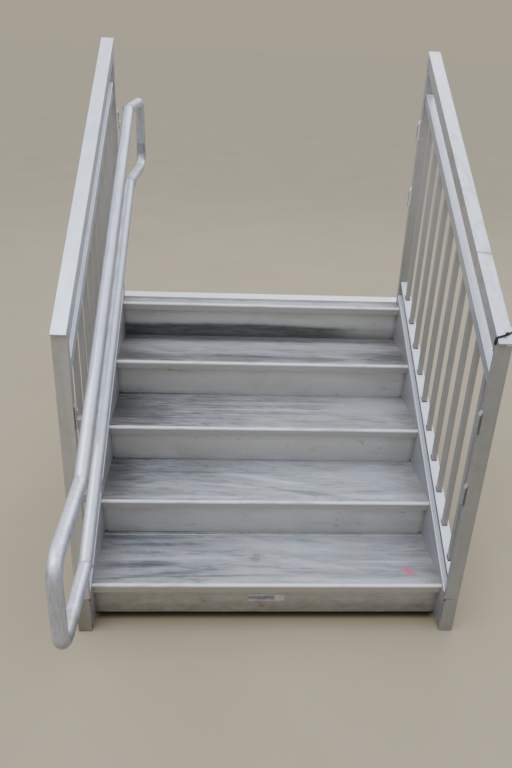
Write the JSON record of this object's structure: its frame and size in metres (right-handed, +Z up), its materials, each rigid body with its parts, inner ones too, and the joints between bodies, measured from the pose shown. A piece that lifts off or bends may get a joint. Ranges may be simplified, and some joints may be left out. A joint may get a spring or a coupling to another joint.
{
  "type": "portable aluminium stair unit",
  "caption": "Free-standing aluminium stair flight on tube legs, with picket guards on both sides and a looped handrail on one, for reaching a raised deck or doorway.",
  "frame": {"origin": "on the ground, at the middle of the unit's footprint", "axes": "+X to the climber's right, +Y away from someone about to climb, +Z up"},
  "size_m": [1.416, 2.218, 2],
  "materials": {
    "bracket": "mill finish flat bar",
    "flange": "mill finish angle, worn clean",
    "handrail": "mill finish round tube",
    "picket": "mill finish square tube, dull",
    "post": "mill finish tube, dull",
    "rail": "mill finish tube",
    "riser": "mill finish plate, weathered",
    "stringer": "mill finish box tube",
    "tread": "mill finish, hollow ribbed plank, rain-streaked",
    "underframe": "mill finish, unseen side"
  },
  "bodies": {
    "root": {"stringer_left": "stringer", "stringer_right": "stringer", "tread_1": "tread", "tread_2": "tread", "tread_3": "tread", "tread_4": "tread", "top_tread": "tread", "riser_1": "riser", "riser_2": "riser", "riser_3": "riser", "riser_4": "riser", "riser_5": "riser", "front_leg_left": "post", "front_leg_right": "post", "rear_leg_left": "post", "rear_leg_right": "post", "rear_header": "underframe", "rear_tie": "underframe", "landing_flange": "flange", "tread_cleats_left": "underframe", "tread_cleats_right": "underframe", "front_post_left": "post", "rear_post_left": "post", "top_rail_left": "rail", "mid_rail_left": "rail", "bottom_rail_left": "rail", "pickets_left": "picket", "front_post_right": "post", "rear_post_right": "post", "top_rail_right": "rail", "mid_rail_right": "rail", "bottom_rail_right": "rail", "pickets_right": "picket", "bracket_plates_left": "bracket", "bracket_plates_right": "bracket", "bracket_arms": "bracket", "handrail_upper_run": "handrail", "handrail_lower_run": "handrail", "handrail_top_return": "handrail", "handrail_foot_return": "handrail"}
  },
  "joints": []
}
